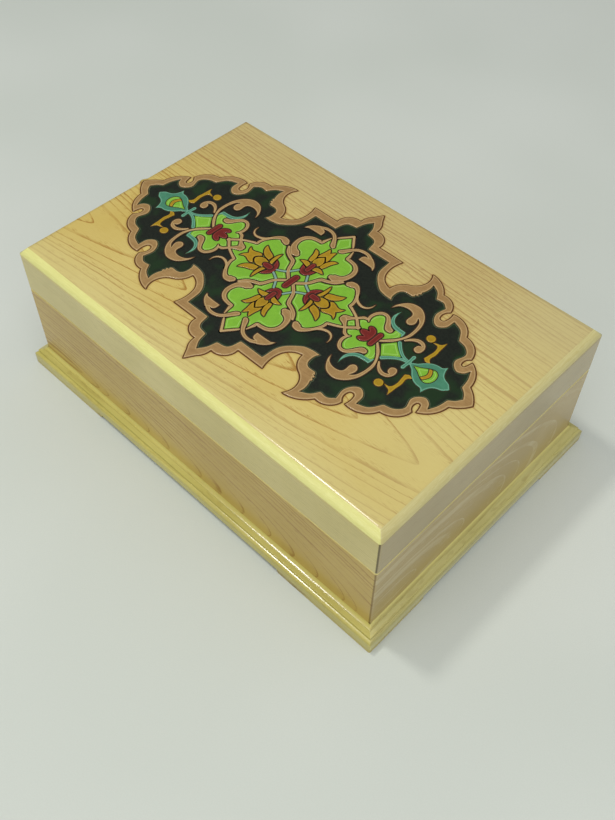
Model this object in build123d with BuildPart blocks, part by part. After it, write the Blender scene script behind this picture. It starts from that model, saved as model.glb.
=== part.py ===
"""Hinged wooden keepsake box with a relief medallion in its lid, on a moulded plinth with corner feet.

Millimetres, +Z up. The origin is on the floor under the middle of the box. The long sides face -Y
(front) and +Y (back, where the hinges are), and the short sides face -X and +X.
"""
from build123d import *
import math
import os

# Carcase: outer plan, walls and heights
box_length = 280.0
box_width = 183.4
wall_thickness = 8.0
corner_radius = 1.6
body_height = 58.55
rim_round = 1.3
joint_gap = 0.3
lid_height = 31.65

# Plinth moulding and corner feet
foot_height = 3.0
foot_arm_length = 69.0
foot_arm_width = 44.0
foot_band = 14.0
foot_end_slope = 1.2
plinth_base = 5.0
plinth_projection = 7.0
plinth_face = 3.7
plinth_arris = 2.3
plinth_cove = 2.1
plinth_step = 0.6
plinth_band_fall = 0.5
plinth_rise = 6.2
plinth_corner_radius = 1.2
ledge_width = 5.0

# Panels and the fabric-faced linings
bottom_thickness = 5.0
panel_thickness = 4.3
panel_corner_radius = 0.6
lining_thickness = 1.2
lining_setback = 6.0

# Lid edge
chamfer_width = 4.4
chamfer_drop = 4.3
lid_edge_ease = 0.5

# Hinges
hinge_length = 36.0
hinge_spacing = 140.0
leaf_thickness = 1.0
leaf_reach = 7.0
knuckle_radius = 2.3
knuckle_offset = 0.3
knuckle_gap = 0.15
pin_radius = 1.0
pin_running_gap = 0.05

# Hinge screws
screw_spacing = 22.0
screw_inset = 3.7
screw_radius = 0.9
screw_head_radius = 1.8
screw_length = 6.5
screw_sides = 16

# Medallion in the lid
medallion_centre = (-6.7, -1.0)
ground_thickness = 0.5
border_thickness = 0.4
field_thickness = 0.2

# Heights worked out from the sizes above
plinth_underside = foot_height
seat_height = plinth_underside + plinth_base
plinth_top = seat_height + plinth_rise
rim_height = seat_height + body_height
lid_underside = rim_height + joint_gap
box_height = lid_underside + lid_height
panel_underside = box_height - panel_thickness
inner_length = box_length - 2 * wall_thickness
inner_width = box_width - 2 * wall_thickness
plinth_length = box_length + 2 * plinth_projection
plinth_width = box_width + 2 * plinth_projection
hinge_axis_y = box_width / 2 + knuckle_offset + knuckle_radius
hinge_axis_z = rim_height + joint_gap / 2

os.makedirs("parts", exist_ok=True)


def save(piece, label):
    """Name a finished piece and write its file."""
    piece.part.label = label
    export_step(piece.part, f"parts/{label}.step")


def side_outline(side, outset, inset):
    """Plan corners of one mitred side of a rectangular frame, going round once.

    outset and inset are the distances of its outer and inner faces from the carcase's outer face.
    """
    outer_x, outer_y = box_length / 2 + outset, box_width / 2 + outset
    inner_x, inner_y = box_length / 2 - inset, box_width / 2 - inset
    corners = {
        "front": [(-outer_x, -outer_y), (outer_x, -outer_y), (inner_x, -inner_y), (-inner_x, -inner_y)],
        "back": [(outer_x, outer_y), (-outer_x, outer_y), (-inner_x, inner_y), (inner_x, inner_y)],
        "left": [(-outer_x, outer_y), (-outer_x, -outer_y), (-inner_x, -inner_y), (-inner_x, inner_y)],
        "right": [(outer_x, -outer_y), (outer_x, outer_y), (inner_x, inner_y), (inner_x, -inner_y)],
    }
    return corners[side]


sides = ("front", "back", "left", "right")

# Hinge places: the middle of each hinge, and its screws along the box
hinge_centres = [-hinge_spacing / 2, hinge_spacing / 2]
screw_offsets = [-screw_spacing / 2, screw_spacing / 2]
leaf_centre_y = box_width / 2 - leaf_reach / 2
leaf_places = [(x, leaf_centre_y) for x in hinge_centres]

# Body carcase before it is cut into its four mitred walls
with BuildPart() as carcase:
    with BuildSketch(Plane.XY.offset(seat_height)):
        RectangleRounded(box_length, box_width, corner_radius)
        Rectangle(inner_length, inner_width, mode=Mode.SUBTRACT)
    extrude(amount=body_height)
    rim_edges = carcase.faces().sort_by(Axis.Z)[-1].outer_wire().edges()
    fillet(rim_edges, rim_round)
    # Shallow seats for the hinge leaves in the back wall's top edge
    with BuildSketch(Plane.XY.offset(rim_height)):
        with Locations(*leaf_places):
            Rectangle(hinge_length, leaf_reach)
    extrude(amount=-leaf_thickness, mode=Mode.SUBTRACT)

for side in sides:
    with BuildPart() as body_wall:
        add(carcase.part)
        with BuildSketch(Plane.XY.offset(seat_height)):
            Polygon(*side_outline(side, 0, wall_thickness), align=None)
        extrude(amount=body_height, mode=Mode.INTERSECT)
    save(body_wall, f"body_{side}_wall")

# Bottom panel, inside the walls on the plinth's ledge
with BuildPart() as bottom_panel:
    with BuildSketch(Plane.XY.offset(seat_height)):
        Rectangle(inner_length, inner_width)
    extrude(amount=bottom_thickness)
save(bottom_panel, "body_bottom_panel")

# Plinth moulding: its section, measured outward from the wall and up from the floor
band_top = plinth_top - plinth_cove
band_low = band_top - plinth_step - plinth_band_fall
arris_top = plinth_underside + plinth_face + plinth_arris
ledge_edge = -wall_thickness - ledge_width

for side in sides:
    if side in ("front", "back"):
        run = plinth_length
        outward = (0, -1 if side == "front" else 1, 0)
        start = box_width / 2
    else:
        run = plinth_width
        outward = (-1 if side == "left" else 1, 0, 0)
        start = box_length / 2
    foot_point = tuple(start * value for value in outward)
    along = Vector(*outward).cross(Vector(0, 0, 1))
    with BuildPart() as moulding:
        with BuildSketch(Plane(origin=foot_point, x_dir=outward, z_dir=along)):
            with BuildLine():
                Polyline(
                    (0, plinth_top),
                    (0, seat_height),
                    (ledge_edge, seat_height),
                    (ledge_edge, plinth_underside),
                    (plinth_projection, plinth_underside),
                    (plinth_projection, plinth_underside + plinth_face),
                )
                RadiusArc(
                    (plinth_projection, plinth_underside + plinth_face),
                    (plinth_projection - plinth_arris, arris_top),
                    -plinth_arris,
                )
                Polyline(
                    (plinth_projection - plinth_arris, arris_top),
                    (plinth_projection - plinth_arris, band_low),
                    (plinth_cove, band_top - plinth_step),
                    (plinth_cove, band_top),
                )
                RadiusArc((plinth_cove, band_top), (0, plinth_top), plinth_cove)
            make_face()
        extrude(amount=run / 2, both=True)
        with BuildSketch(Plane.XY.offset(plinth_underside)):
            Polygon(*side_outline(side, plinth_projection, wall_thickness + ledge_width), align=None)
        extrude(amount=plinth_top, mode=Mode.INTERSECT)
        with BuildSketch(Plane.XY.offset(plinth_underside)):
            RectangleRounded(plinth_length, plinth_width, plinth_corner_radius)
        extrude(amount=plinth_top, mode=Mode.INTERSECT)
    save(moulding, f"plinth_{side}_moulding")

# Corner feet: low L-shaped pieces under the moulding, flush with its face
foot_corners = {
    "front_left": (-1, -1),
    "front_right": (1, -1),
    "back_left": (-1, 1),
    "back_right": (1, 1),
}
for corner, (sign_x, sign_y) in foot_corners.items():
    corner_x = sign_x * plinth_length / 2
    corner_y = sign_y * plinth_width / 2
    with BuildPart() as foot:
        with BuildSketch():
            Polygon(
                (corner_x, corner_y),
                (corner_x - sign_x * foot_arm_length, corner_y),
                (corner_x - sign_x * foot_arm_length, corner_y - sign_y * foot_band),
                (corner_x - sign_x * foot_band, corner_y - sign_y * foot_band),
                (corner_x - sign_x * foot_band, corner_y - sign_y * foot_arm_width),
                (corner_x, corner_y - sign_y * foot_arm_width),
                align=None,
            )
        extrude(amount=foot_height)
        outer_edge = foot.edges().filter_by(Axis.Z).sort_by_distance((corner_x, corner_y, foot_height / 2))[0]
        fillet(outer_edge, plinth_corner_radius)
        # The inner ends lean back under the moulding
        lower_edges = foot.edges().group_by(Axis.Z)[0]
        end_x = lower_edges.filter_by(Axis.Y).sort_by(Axis.X)[0 if sign_x > 0 else -1]
        end_y = lower_edges.filter_by(Axis.X).sort_by(Axis.Y)[0 if sign_y > 0 else -1]
        chamfer([end_x, end_y], foot_end_slope)
    save(foot, f"foot_{corner}")

# Linings: fabric-faced card on the floor and round the walls of the body, and inside the lid
floor_top = seat_height + bottom_thickness
with BuildPart() as floor_lining:
    with BuildSketch(Plane.XY.offset(floor_top)):
        Rectangle(inner_length, inner_width)
    extrude(amount=lining_thickness)
save(floor_lining, "body_floor_lining")

side_lining_base = floor_top + lining_thickness
side_lining_height = rim_height - lining_setback - side_lining_base
for side in sides:
    with BuildPart() as side_lining:
        with BuildSketch(Plane.XY.offset(side_lining_base)):
            Polygon(
                *side_outline(side, -wall_thickness, wall_thickness + lining_thickness),
                align=None,
            )
        extrude(amount=side_lining_height)
    save(side_lining, f"body_{side}_lining")

with BuildPart() as lid_lining:
    with BuildSketch(Plane.XY.offset(panel_underside)):
        Rectangle(inner_length, inner_width)
    extrude(amount=-lining_thickness)
save(lid_lining, "lid_lining")

# Lid frame before it is cut into its four mitred rails
panel_length = box_length - 2 * chamfer_width
panel_width = box_width - 2 * chamfer_width
chamfer_foot = box_height - chamfer_drop
with BuildPart() as lid_frame:
    with BuildSketch(Plane.XY.offset(lid_underside)):
        RectangleRounded(box_length, box_width, corner_radius)
    extrude(amount=chamfer_foot - lid_underside)
    # Sloping edge round the top, up to the edge of the top panel
    with BuildSketch(Plane.XY.offset(chamfer_foot)):
        RectangleRounded(box_length, box_width, corner_radius)
    with BuildSketch(Plane.XY.offset(box_height)):
        RectangleRounded(panel_length, panel_width, panel_corner_radius)
    loft(ruled=True)
    low_edges = lid_frame.faces().sort_by(Axis.Z)[0].outer_wire().edges()
    chamfer(low_edges, lid_edge_ease)
    with BuildSketch(Plane.XY.offset(lid_underside)):
        Rectangle(inner_length, inner_width)
    extrude(amount=lid_height, mode=Mode.SUBTRACT)
    # Rebate that holds the top panel
    with BuildSketch(Plane.XY.offset(panel_underside)):
        RectangleRounded(panel_length, panel_width, panel_corner_radius)
    extrude(amount=panel_thickness, mode=Mode.SUBTRACT)
    with BuildSketch(Plane.XY.offset(lid_underside)):
        with Locations(*leaf_places):
            Rectangle(hinge_length, leaf_reach)
    extrude(amount=leaf_thickness, mode=Mode.SUBTRACT)

for side in sides:
    with BuildPart() as lid_rail:
        add(lid_frame.part)
        with BuildSketch(Plane.XY.offset(lid_underside)):
            Polygon(*side_outline(side, 0, wall_thickness), align=None)
        extrude(amount=lid_height, mode=Mode.INTERSECT)
    save(lid_rail, f"lid_{side}_rail")


# The side of a screw head slopes in from the head's rim to the shank across the leaf's thickness
flat_share = math.cos(math.pi / screw_sides)
head_slope = (screw_head_radius - screw_radius) * flat_share / leaf_thickness
head_taper = math.degrees(math.atan(head_slope))


def screw_head(x, face_height, direction):
    """Head of one countersunk screw, sunk into its leaf from the face between the leaves."""
    centre = (x, box_width / 2 - screw_inset, face_height)
    with BuildPart() as head:
        with BuildSketch(Plane(origin=centre, x_dir=(1, 0, 0), z_dir=(0, 0, direction))):
            RegularPolygon(screw_head_radius, screw_sides)
        extrude(amount=leaf_thickness, taper=head_taper)
    return head.part


# Hinges: leaves let into the body's and the lid's back edges, with the barrel just behind the box.
# The body's leaf has the two end knuckles and the lid's leaf has the middle one.
knuckle_length = (hinge_length - 2 * knuckle_gap) / 3
knuckle_step = knuckle_length + knuckle_gap
back_face = box_width / 2
for place, hinge_x in zip(("left", "right"), hinge_centres):
    leaf_kinds = {
        "body": (rim_height, -1, [hinge_x - knuckle_step, hinge_x + knuckle_step], pin_radius),
        "lid": (lid_underside, 1, [hinge_x], pin_radius + pin_running_gap),
    }
    for owner, (face_height, direction, knuckle_centres, hole_radius) in leaf_kinds.items():
        heads = [screw_head(hinge_x + dx, face_height, direction) for dx in screw_offsets]
        with BuildPart() as leaf:
            with BuildSketch(Plane.XY.offset(face_height)):
                with Locations((hinge_x, leaf_centre_y)):
                    Rectangle(hinge_length, leaf_reach)
                for knuckle_x in knuckle_centres:
                    with Locations((knuckle_x, (back_face + hinge_axis_y) / 2)):
                        Rectangle(knuckle_length, hinge_axis_y - back_face)
            extrude(amount=direction * leaf_thickness)
            for knuckle_x in knuckle_centres:
                with BuildSketch(Plane.YZ.offset(knuckle_x)):
                    with Locations((hinge_axis_y, hinge_axis_z)):
                        Circle(knuckle_radius)
                extrude(amount=knuckle_length / 2, both=True)
            with BuildSketch(Plane.YZ.offset(hinge_x)):
                with Locations((hinge_axis_y, hinge_axis_z)):
                    Circle(hole_radius)
            extrude(amount=hinge_length, both=True, mode=Mode.SUBTRACT)
            # Countersunk screw holes, wide on the face between the leaves
            add(heads, mode=Mode.SUBTRACT)
        save(leaf, f"hinge_{place}_{owner}_leaf")

    # The pin is tight in the body's knuckles and ends flush with them
    with BuildPart() as pin:
        with BuildSketch(Plane.YZ.offset(hinge_x)):
            with Locations((hinge_axis_y, hinge_axis_z)):
                Circle(pin_radius)
        extrude(amount=hinge_length / 2, both=True)
    save(pin, f"hinge_{place}_pin")

# Countersunk hinge screws: one node for the body's and one for the lid's. Each head fills the hole
# in its leaf, and the shank is driven into the wood behind.
screw_xs = [hinge_x + dx for hinge_x in hinge_centres for dx in screw_offsets]
for owner, face_height, direction in (("body", rim_height, -1), ("lid", lid_underside, 1)):
    heads = [screw_head(x, face_height, direction) for x in screw_xs]
    with BuildPart() as screws:
        add(heads)
        with BuildSketch(Plane.XY.offset(face_height + direction * leaf_thickness)):
            with Locations(*[(x, box_width / 2 - screw_inset) for x in screw_xs]):
                RegularPolygon(screw_radius, screw_sides)
        extrude(amount=direction * (screw_length - leaf_thickness))
    save(screws, f"hinge_{owner}_screws")

# Medallion outlines in millimetres from its centre: one quarter, from the short axis round to the
# long axis. Two points are a straight run and three are an arc through the middle one.
border_outer_quarter = [
    [(0, 80.1), (3.4, 74.2)],
    [(3.4, 74.2), (5.7, 70.6), (6.3, 66.1)],
    [(6.3, 66.1), (13.4, 64.3), (16.4, 56.2)],
    [(16.4, 56.2), (34.6, 56.2)],
    [(34.6, 56.2), (33.1, 49.6), (33.9, 42.6)],
    [(33.9, 42.6), (37.4, 37.4), (43.3, 34.8)],
    [(43.3, 34.8), (44.9, 40.3), (49.3, 44.4)],
    [(49.3, 44.4), (55.4, 51.2), (53.6, 60.6)],
    [(53.6, 60.6), (62.4, 57.7), (68.1, 51.8)],
    [(68.1, 51.8), (74.9, 50.6), (79.3, 43.9)],
    [(79.3, 43.9), (77.1, 40.4), (77.3, 37.2)],
    [(77.3, 37.2), (79.5, 35.5), (81.6, 37.4)],
    [(81.6, 37.4), (82.0, 40.6), (81.5, 43.8)],
    [(81.5, 43.8), (90.9, 42.3), (97.0, 35.3)],
    [(97.0, 35.3), (104.6, 32.2), (108.7, 24.3)],
    [(108.7, 24.3), (106.5, 21.4), (106.6, 18.6)],
    [(106.6, 18.6), (108.1, 17.3), (109.6, 18.6)],
    [(109.6, 18.6), (110.2, 20.7), (110.5, 22.9)],
    [(110.5, 22.9), (116.5, 17.9), (119.8, 8.9)],
    [(119.8, 8.9), (125.0, 4.8), (128.3, 0)],
]
# The band's inner edge and the ground sheet's edge, which runs unseen under the band, are in
# straight runs
border_inner_quarter = [
    (0, 70.9), (3.0, 66.2), (4.5, 60.3), (10.9, 58.4), (13.1, 50.9), (29.1, 50.9), (30.7, 39.5),
    (38.8, 30.8), (49.8, 28.7), (49.6, 36.2), (56.3, 39.3), (60.4, 46.3), (59.4, 54.0), (64.2, 51.2),
    (67.3, 46.6), (71.9, 47.0), (75.6, 44.3), (74.6, 36.6), (79.5, 30.6), (84.4, 33.4), (85.3, 39.8),
    (91.5, 37.0), (95.6, 30.6), (100.9, 29.1), (104.5, 24.8), (103.1, 17.4), (107.5, 12.6),
    (111.5, 14.0), (113.4, 17.6), (115.8, 12.0), (116.8, 5.9), (122.2, 0),
]
ground_edge_quarter = [
    (0, 75.5), (5.5, 63.4), (12.6, 60.6), (14.8, 53.6), (31.2, 53.6), (31.4, 42.4), (37.4, 34.4),
    (45.6, 31.6), (46.9, 38.0), (53.6, 43.0), (57.9, 50.0), (56.8, 57.0), (67.8, 49.6), (73.5, 48.9),
    (77.4, 44.2), (75.6, 38.2), (79.3, 33.0), (83.1, 36.6), (83.3, 41.9), (90.0, 40.2), (96.2, 33.0),
    (102.9, 30.6), (106.6, 24.6), (104.7, 19.2), (107.9, 14.9), (111.3, 17.6), (112.0, 20.2),
    (116.0, 15.2), (118.3, 7.4), (125.0, 0),
]
long_petal_half = [
    [(3.9, 0), (9.0, 4.9), (11.7, 10.9)],
    [(11.7, 10.9), (18.2, 13.3), (22.8, 18.9)],
    [(22.8, 18.9), (32.2, 18.9), (35.9, 8.4)],
    [(35.9, 8.4), (43.6, 5.3)],
    [(43.6, 5.3), (41.6, 0)],
]
short_petal_half = [
    [(0, 1.4), (6.6, 6.2), (9.2, 14.2)],
    [(9.2, 14.2), (12.3, 15.3)],
    [(12.3, 15.3), (13.4, 21.6)],
    [(13.4, 21.6), (18.9, 29.0), (9.6, 34.2)],
    [(9.6, 34.2), (8.1, 41.4)],
    [(8.1, 41.4), (3.2, 37.2)],
    [(3.2, 37.2), (4.6, 44.8)],
    [(4.6, 44.8), (0, 50.9)],
]
cartouche_half = [
    [(46.9, 0), (48.4, 4.6), (51.8, 7.6)],
    [(51.8, 7.6), (55.0, 16.0), (61.2, 10.2)],
    [(61.2, 10.2), (64.6, 8.1)],
    [(64.6, 8.1), (66.8, 12.9)],
    [(66.8, 12.9), (69.8, 13.1)],
    [(69.8, 13.1), (69.4, 5.8), (64.6, 0)],
]
palmette_half = [
    [(87.6, 0), (94.6, 7.0), (104.0, 11.6)],
    [(104.0, 11.6), (106.8, 3.1)],
    [(106.8, 3.1), (110.2, 2.3), (113.1, 0)],
]


def filled_outline(stretches, mirror_planes):
    """Face inside an outline whose stretches are mirrored in each of the planes in turn."""
    with BuildSketch() as face:
        with BuildLine():
            for points in stretches:
                if len(points) == 2:
                    Line(*points)
                else:
                    ThreePointArc(*points)
            for plane in mirror_planes:
                mirror(about=plane)
        make_face()
    return face.sketch


def straight_runs(points):
    """Stretches that join the points in order."""
    return list(zip(points, points[1:]))


def medallion_plane(height):
    """Level plane at a height, centred on the medallion."""
    return Plane(origin=(*medallion_centre, height), x_dir=(1, 0, 0), z_dir=(0, 0, 1))


four_ways = (Plane.YZ, Plane.XZ)
border_outer_face = filled_outline(border_outer_quarter, four_ways)
border_inner_face = filled_outline(straight_runs(border_inner_quarter), four_ways)
ground_face = filled_outline(straight_runs(ground_edge_quarter), four_ways)

# Top panel, with a shallow recess for the medallion's ground sheet
with BuildPart() as lid_panel:
    with BuildSketch(Plane.XY.offset(panel_underside)):
        RectangleRounded(panel_length, panel_width, panel_corner_radius)
    extrude(amount=panel_thickness)
    with BuildSketch(medallion_plane(box_height)):
        add(ground_face)
    extrude(amount=-ground_thickness, mode=Mode.SUBTRACT)
save(lid_panel, "lid_top_panel")

# Ground sheet, let in level with the panel
with BuildPart() as medallion_ground:
    with BuildSketch(medallion_plane(box_height)):
        add(ground_face)
    extrude(amount=-ground_thickness)
save(medallion_ground, "medallion_ground")

# Border band, standing on the panel and covering the joint round the ground sheet
with BuildPart() as medallion_border:
    with BuildSketch(medallion_plane(box_height)):
        add(border_outer_face)
        add(border_inner_face, mode=Mode.SUBTRACT)
    extrude(amount=border_thickness)
save(medallion_border, "medallion_border")

# Raised fields on the ground: each is drawn for the +X or -Y arm and repeated across the middle
field_kinds = {
    "medallion_long_petals": (long_petal_half, Plane.XZ, Plane.YZ),
    "medallion_short_petals": (short_petal_half, Plane.YZ, Plane.XZ),
    "medallion_cartouches": (cartouche_half, Plane.XZ, Plane.YZ),
    "medallion_palmettes": (palmette_half, Plane.XZ, Plane.YZ),
}
for label, (half, own_mirror, middle_mirror) in field_kinds.items():
    field_face = filled_outline(half, (own_mirror,))
    with BuildPart() as fields:
        with BuildSketch(medallion_plane(box_height)):
            add(field_face)
            mirror(field_face, about=middle_mirror)
        extrude(amount=field_thickness)
    save(fields, label)
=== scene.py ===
"""Looks of the veneered keepsake box: wood, brass, velvet and the painted relief on its lid."""

import math

import bpy
import numpy as np
from mathutils import Matrix, Vector
from mathutils.geometry import delaunay_2d_cdt


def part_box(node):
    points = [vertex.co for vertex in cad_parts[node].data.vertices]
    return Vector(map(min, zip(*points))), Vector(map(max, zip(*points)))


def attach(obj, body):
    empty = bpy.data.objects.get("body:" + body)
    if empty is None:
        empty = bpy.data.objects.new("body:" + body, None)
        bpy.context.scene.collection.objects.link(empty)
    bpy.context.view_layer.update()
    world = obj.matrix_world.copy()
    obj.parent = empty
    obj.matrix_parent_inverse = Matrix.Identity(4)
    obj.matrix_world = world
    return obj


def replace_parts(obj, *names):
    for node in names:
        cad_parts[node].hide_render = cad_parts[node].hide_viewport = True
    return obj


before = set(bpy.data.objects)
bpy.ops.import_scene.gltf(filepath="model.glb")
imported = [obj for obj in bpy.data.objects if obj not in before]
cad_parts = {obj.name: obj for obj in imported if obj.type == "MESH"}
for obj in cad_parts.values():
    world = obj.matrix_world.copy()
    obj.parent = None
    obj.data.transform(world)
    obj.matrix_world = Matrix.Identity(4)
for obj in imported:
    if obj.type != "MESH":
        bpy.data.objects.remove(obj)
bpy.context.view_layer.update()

# The ornament is in millimetres from the medallion's centre, u along the box and v across it
mm = 0.001
medallion_low, medallion_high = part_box("medallion_border")
centre = (medallion_low + medallion_high) / 2
lid_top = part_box("lid_top_panel")[1].z

# Heights of the relief above the lid, in millimetres
border_height = 0.40
field_height = 0.20
ribbon_foot = 0.10
ribbon_height = 0.345
stem_height = 0.27
heart_height = 0.28
flower_height = 0.32
calyx_height = 0.34
bar_foot = 0.35
bar_height = 0.385
outline_lift = 0.03
ground_depth = 0.5
layer_gap = 0.0015  # keeps mirrored copies that cross from lying in one plane

# How finely the shapes are cut up
curve_step = 0.55
longest_edge = 0.8
rim_distances = (0.08, 0.2, 0.36, 0.55, 0.9, 1.5)
inner_spacing = 3.0
rim_share = 0.35  # of a raised shape's height, at its very edge
batch = 500  # points measured at a time


# Outlines


def curve_through(points, closed):
    """Smooth line through the points; a point that ends in "sharp" keeps its corner."""
    values = [np.array([x for x in p if not isinstance(x, str)], float) for p in points]
    sharp = [p[-1] == "sharp" for p in points]
    count = len(values)
    if not closed:
        sharp[0] = sharp[-1] = True
    line = []
    for i in range(count if closed else count - 1):
        j = (i + 1) % count
        start, end = values[i], values[j]
        chord = np.linalg.norm((end - start)[:2])

        def tangent(k):
            if sharp[k]:
                return end - start
            through = values[(k + 1) % count] - values[k - 1]
            return through / np.linalg.norm(through[:2]) * chord

        m0, m1 = tangent(i), tangent(j)
        steps = max(1, round(chord / curve_step))
        for t in np.arange(steps) / steps:
            line.append(
                (2 * t**3 - 3 * t**2 + 1) * start
                + (t**3 - 2 * t**2 + t) * m0
                + (3 * t**2 - 2 * t**3) * end
                + (t**3 - t**2) * m1
            )
    if not closed:
        line.append(values[-1])
    return np.array(line)


def shape(points):
    """Closed outline through the points."""
    return curve_through(points, True)


def half_shape(points, axis):
    """Closed outline from one half of it, mirrored in the u axis (axis 1) or the v axis (axis 0)."""
    flip = np.array([1.0, -1.0] if axis == 1 else [-1.0, 1.0])
    other = []
    for p in reversed(points):
        mirrored = (p[0] * flip[0], p[1] * flip[1]) + tuple(p[2:])
        if abs(p[axis]) > 1e-6:
            other.append(mirrored)
    return shape(list(points) + other)


def band(stations):
    """Outline of a band whose middle line and width follow the stations (u, v, width)."""
    line = curve_through(stations, False)
    middle, half = line[:, :2], line[:, 2:3] / 2
    along = np.gradient(middle, axis=0)
    along /= np.linalg.norm(along, axis=1)[:, None]
    across = np.stack([-along[:, 1], along[:, 0]], 1)
    angles = np.linspace(90, -90, 7)[1:-1] * math.pi / 180

    def cap(at, direction):
        side = np.array([-direction[1], direction[0]])
        return [middle[at] + half[at] * (math.cos(a) * direction + math.sin(a) * side) for a in angles]

    left, right = middle + across * half, middle - across * half
    return np.array([*left, *cap(-1, along[-1]), *right[::-1], *cap(0, -along[0])])


def copies(*signs):
    """Function that repeats outlines with their u and v turned over by each pair of signs."""
    return lambda *outlines: [o * np.array(s) for s in signs for o in outlines]


four_ways = copies((1, 1), (-1, 1), (1, -1), (-1, -1))
both_ends = copies((1, 1), (-1, 1))
both_sides = copies((1, 1), (1, -1))


def area(outline):
    """Signed area, positive where the outline runs anticlockwise."""
    u, v = outline.T
    return float(np.sum(u * np.roll(v, -1) - np.roll(u, -1) * v)) / 2


def node_outlines(node):
    """Edges of a CAD node's flat top: outer ones anticlockwise, holes clockwise."""
    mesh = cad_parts[node].data
    top = max(v.co.z for v in mesh.vertices) - 1e-6

    def key(index):
        co = mesh.vertices[index].co
        return (round((co.x - centre.x) / mm, 3), round((co.y - centre.y) / mm, 3))

    follows = {}
    for face in mesh.polygons:
        if face.normal.z > 0.9 and all(mesh.vertices[i].co.z > top for i in face.vertices):
            corners = [key(i) for i in face.vertices]
            for a, b in zip(corners, corners[1:] + corners[:1]):
                if (b, a) in follows:
                    del follows[(b, a)]
                else:
                    follows[(a, b)] = True
    step = {a: b for a, b in follows}
    outlines = []
    while step:
        start = at = next(iter(step))
        line = []
        while at in step:
            line.append(at)
            at = step.pop(at)
        if at == start and len(line) > 2:
            outlines.append(np.array(line))
    return outlines


def divided(outline):
    """The outline with long edges cut up."""
    line = []
    for a, b in zip(outline, np.roll(outline, -1, axis=0)):
        steps = max(1, math.ceil(np.linalg.norm(b - a) / longest_edge))
        line += [a + (b - a) * t / steps for t in range(steps)]
    return np.array(line)


def distance(points, starts, ends):
    """Distance from each point to the nearest of the edges."""
    nearest = np.full(len(points), 1e9)
    run = ends - starts
    length = np.maximum((run**2).sum(1), 1e-12)
    for at in range(0, len(points), batch):
        p = points[at : at + batch]
        from_start = p[:, None] - starts[None]
        t = np.clip((from_start * run[None]).sum(2) / length[None], 0, 1)
        gap = from_start - run[None] * t[..., None]
        nearest[at : at + batch] = np.sqrt((gap**2).sum(2)).min(1)
    return nearest


def within(points, starts, ends):
    """True for each point that the edges enclose."""
    inside = np.zeros(len(points), bool)
    for at in range(0, len(points), batch):
        p = points[at : at + batch, None]
        crosses = (starts[None, :, 1] > p[..., 1]) != (ends[None, :, 1] > p[..., 1])
        rise = ends[None, :, 1] - starts[None, :, 1]
        rise = np.where(np.abs(rise) < 1e-12, 1e-12, rise)
        share = (p[..., 1] - starts[None, :, 1]) / rise
        where = starts[None, :, 0] + share * (ends - starts)[None, :, 0]
        crossings = np.count_nonzero(crosses & (where > p[..., 0]), axis=1)
        inside[at : at + batch] = crossings % 2 == 1
    return inside


def edges_of(outlines):
    """Start and end points of every edge of the outlines."""
    starts = np.concatenate(outlines)
    ends = np.concatenate([np.roll(o, -1, axis=0) for o in outlines])
    return starts, ends


def inward(outline):
    """Unit vector into the shape at each point of an anticlockwise outline."""
    along = np.roll(outline, -1, axis=0) - np.roll(outline, 1, axis=0)
    along /= np.maximum(np.linalg.norm(along, axis=1)[:, None], 1e-9)
    return np.stack([-along[:, 1], along[:, 0]], 1)


def loop(first, count):
    """Edges that join points in a closed line."""
    return [(first + i, first + (i + 1) % count) for i in range(count)]


def triangulated(points, joins):
    """Flat triangles over the points, which keep the joins as edges."""
    found = delaunay_2d_cdt([Vector(p) for p in points], joins, [], 0, 1e-6)
    return np.array([tuple(v) for v in found[0]]), np.array([f for f in found[2] if len(f) == 3])


# Meshes


def add(name, data):
    """New object in the scene."""
    obj = bpy.data.objects.new(name, data)
    bpy.context.scene.collection.objects.link(obj)
    return obj


def new_mesh(name, vertices, faces, material):
    """Mesh of one material."""
    mesh = bpy.data.meshes.new(name)
    mesh.from_pydata(vertices, [], faces)
    mesh.materials.append(material)
    return mesh


def put(name, vertices, faces, edge_distance, material, slot_name):
    """Makes a piece of the lid from points in millimetres (u, v, height above the lid)."""
    place = np.array([centre.x, centre.y, lid_top])
    mesh = new_mesh(name, [tuple(place + np.array(v) * mm) for v in vertices], faces, material)
    values = mesh.attributes.new("edge", "FLOAT", "POINT")
    values.data.foreach_set("value", np.array(edge_distance, np.float32))
    mesh.shade_smooth()
    mesh.validate()
    obj = add(name, mesh)
    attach(obj, "lid")
    return obj


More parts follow.
